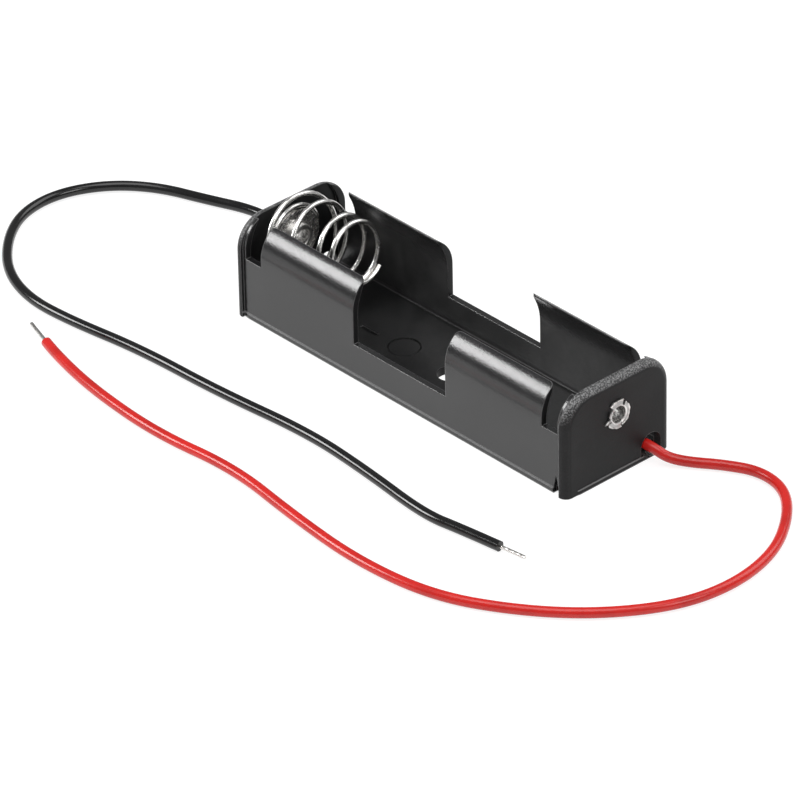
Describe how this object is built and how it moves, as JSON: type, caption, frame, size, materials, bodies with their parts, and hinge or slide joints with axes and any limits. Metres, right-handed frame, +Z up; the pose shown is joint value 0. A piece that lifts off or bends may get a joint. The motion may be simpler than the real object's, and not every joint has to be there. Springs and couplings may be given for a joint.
{
  "type": "cylindrical cell holder",
  "caption": "Black moulded holder for a single AA cell, with curled snap clips, a coil spring contact, riveted contact plates and two loose wire leads.",
  "frame": {"origin": "centre of the tray's underside", "axes": "+X along the cell toward the positive end with the red lead, -Y toward the front side wall, +Z up out of the open side"},
  "size_m": [0.1204, 0.047, 0.0144],
  "materials": {
    "black_plastic": "satin moulded, fine grain on the end wall edges",
    "spring_wire": "nickel plated wire",
    "plated_rivet": "nickel plated",
    "plated_sheet": "nickel plated strip",
    "solder": "bright solder",
    "tinned_copper": "tinned strands",
    "red_insulation": "smooth flexible insulation",
    "black_insulation": "smooth flexible insulation"
  },
  "bodies": {
    "holder": {"tray": "black_plastic", "negative_rivet": "plated_rivet", "negative_plate": "plated_sheet", "negative_solder": "solder", "positive_rivet": "plated_rivet", "positive_plate": "plated_sheet", "positive_solder": "solder", "red_lead": "red_insulation", "red_tip": "tinned_copper", "red_tail": "tinned_copper", "black_lead": "black_insulation", "black_tip": "tinned_copper", "black_tail": "tinned_copper"},
    "spring": {"negative_spring": "spring_wire"}
  },
  "joints": [
    {"name": "spring_press", "type": "slide", "parent": "holder", "child": "spring", "axis": [-1, 0, 0], "range_m": [0, 0.0078], "stiffness_N_per_m": 350, "deforming": ["negative_spring"]}
  ]
}
